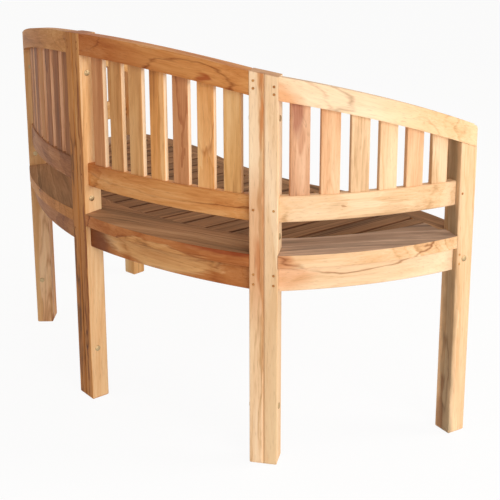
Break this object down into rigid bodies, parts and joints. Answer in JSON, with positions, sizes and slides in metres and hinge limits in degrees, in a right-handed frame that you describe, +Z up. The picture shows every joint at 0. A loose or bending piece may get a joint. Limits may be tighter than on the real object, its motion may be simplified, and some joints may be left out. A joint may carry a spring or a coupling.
{
  "type": "garden sofa",
  "caption": "Teak garden bench with a kidney-shaped slatted seat, a curved slatted back and arms that fall away from a centre post in one sweep.",
  "frame": {"origin": "middle of the footprint, on the floor", "axes": "+X along the bench to the right arm as seen from the front, +Y towards the back, +Z up"},
  "size_m": [1.3534, 0.6, 0.87],
  "materials": {
    "teak_frame": "satin",
    "teak_seat": "satin",
    "teak_slats": "satin",
    "teak_pegs": "matte",
    "steel": "satin"
  },
  "bodies": {
    "root": {"centre_post_left": "teak_frame", "centre_post_right": "teak_frame", "side_post_back_half_left": "teak_frame", "side_post_back_half_right": "teak_frame", "side_post_arm_half_left": "teak_frame", "side_post_arm_half_right": "teak_frame", "arm_post_left": "teak_frame", "arm_post_right": "teak_frame", "back_top_rail_left": "teak_frame", "back_top_rail_right": "teak_frame", "arm_top_rail_left": "teak_frame", "arm_top_rail_right": "teak_frame", "back_bottom_rail_left": "teak_frame", "back_bottom_rail_right": "teak_frame", "arm_bottom_rail_left": "teak_frame", "arm_bottom_rail_right": "teak_frame", "back_apron_left": "teak_frame", "back_apron_right": "teak_frame", "arm_apron_left": "teak_frame", "arm_apron_right": "teak_frame", "back_rim_left": "teak_seat", "back_rim_right": "teak_seat", "arm_rim_left": "teak_seat", "arm_rim_right": "teak_seat", "seat_slats_left": "teak_seat", "seat_slats_right": "teak_seat", "back_slat_left_1": "teak_slats", "back_slat_left_2": "teak_slats", "back_slat_left_3": "teak_slats", "back_slat_left_4": "teak_slats", "back_slat_left_5": "teak_slats", "back_slat_left_6": "teak_slats", "back_slat_left_7": "teak_slats", "back_slat_right_1": "teak_slats", "back_slat_right_2": "teak_slats", "back_slat_right_3": "teak_slats", "back_slat_right_4": "teak_slats", "back_slat_right_5": "teak_slats", "back_slat_right_6": "teak_slats", "back_slat_right_7": "teak_slats", "arm_slat_left_1": "teak_slats", "arm_slat_left_2": "teak_slats", "arm_slat_left_3": "teak_slats", "arm_slat_left_4": "teak_slats", "arm_slat_left_5": "teak_slats", "arm_slat_left_6": "teak_slats", "arm_slat_right_1": "teak_slats", "arm_slat_right_2": "teak_slats", "arm_slat_right_3": "teak_slats", "arm_slat_right_4": "teak_slats", "arm_slat_right_5": "teak_slats", "arm_slat_right_6": "teak_slats", "front_rim": "teak_seat", "front_apron": "teak_frame", "centre_stretcher": "teak_frame", "seat_bearers": "teak_frame", "frame_bolts": "steel", "frame_nuts": "steel", "barrel_nuts": "steel", "tenon_pegs": "teak_pegs"}
  },
  "joints": []
}
